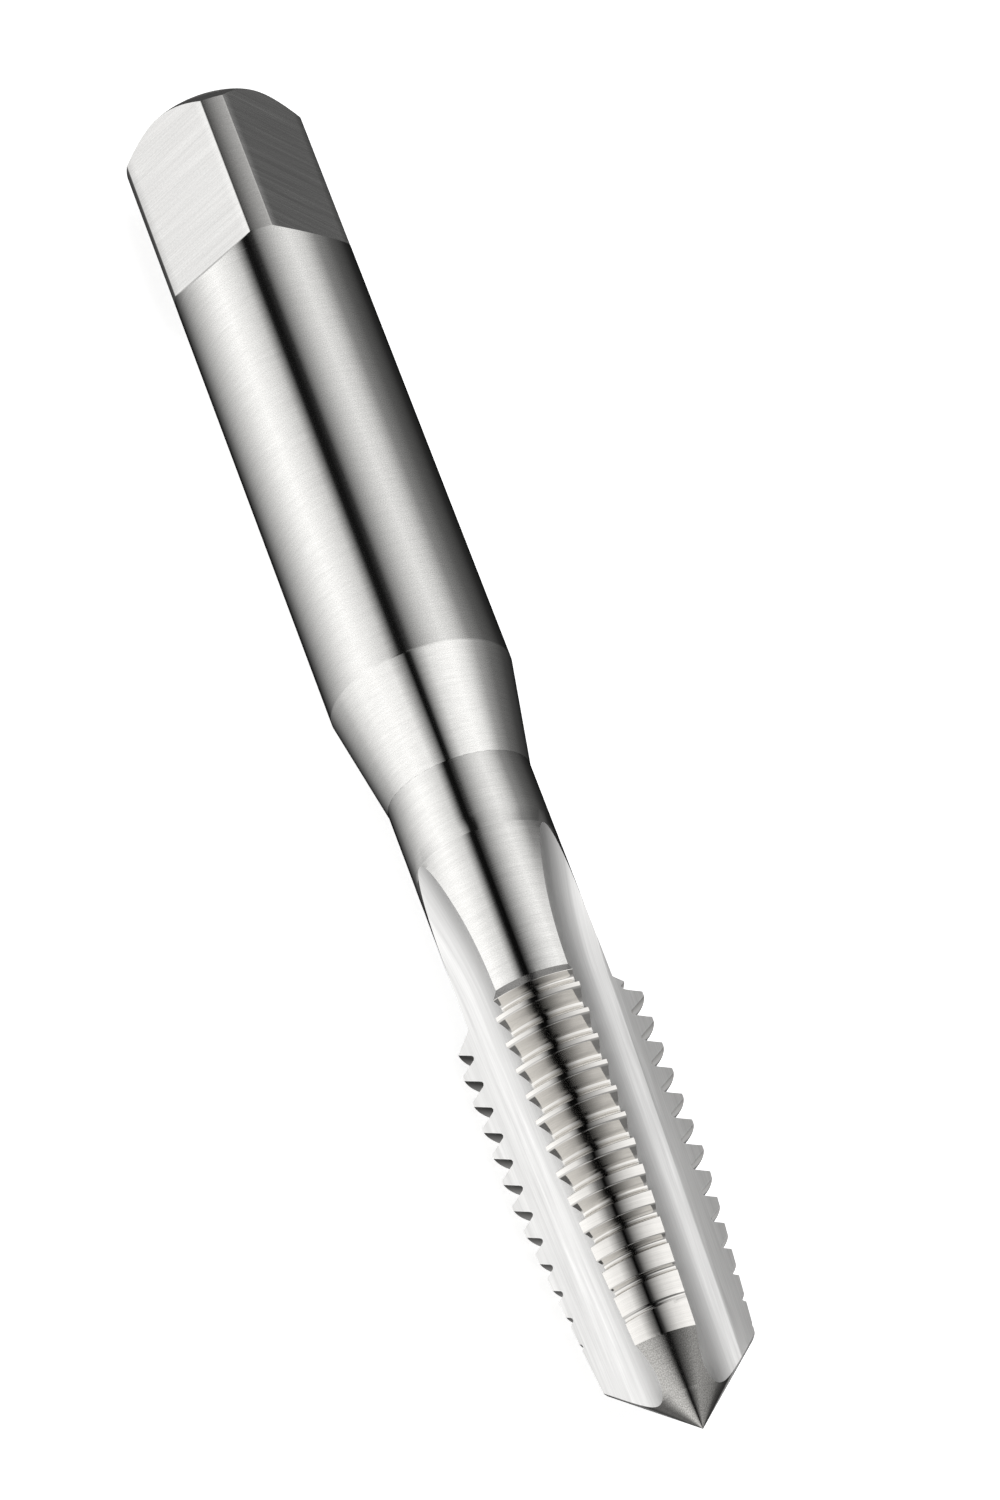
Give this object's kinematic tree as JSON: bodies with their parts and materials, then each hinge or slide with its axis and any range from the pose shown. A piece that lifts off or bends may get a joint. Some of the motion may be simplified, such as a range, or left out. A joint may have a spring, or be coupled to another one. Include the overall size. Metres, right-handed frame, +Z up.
{
  "type": "thread tap",
  "caption": "Hand tap for cutting an internal screw thread: pointed fluted end with tapered teeth, neck, round shank and drive square.",
  "frame": {"origin": "on the surface that the tap lies on, below the middle of its length and its axis", "axes": "+X along the tool axis towards the point, -X towards the drive square, +Z up; the tap lies on its side"},
  "size_m": [0.08, 0.01, 0.01],
  "materials": {
    "ground_steel": "bright ground high-speed steel: fine rings round the shank, lengthwise grinding lines in the flutes, slanting lines on the flats"
  },
  "bodies": {
    "root": {"tap": "ground_steel"}
  },
  "joints": []
}
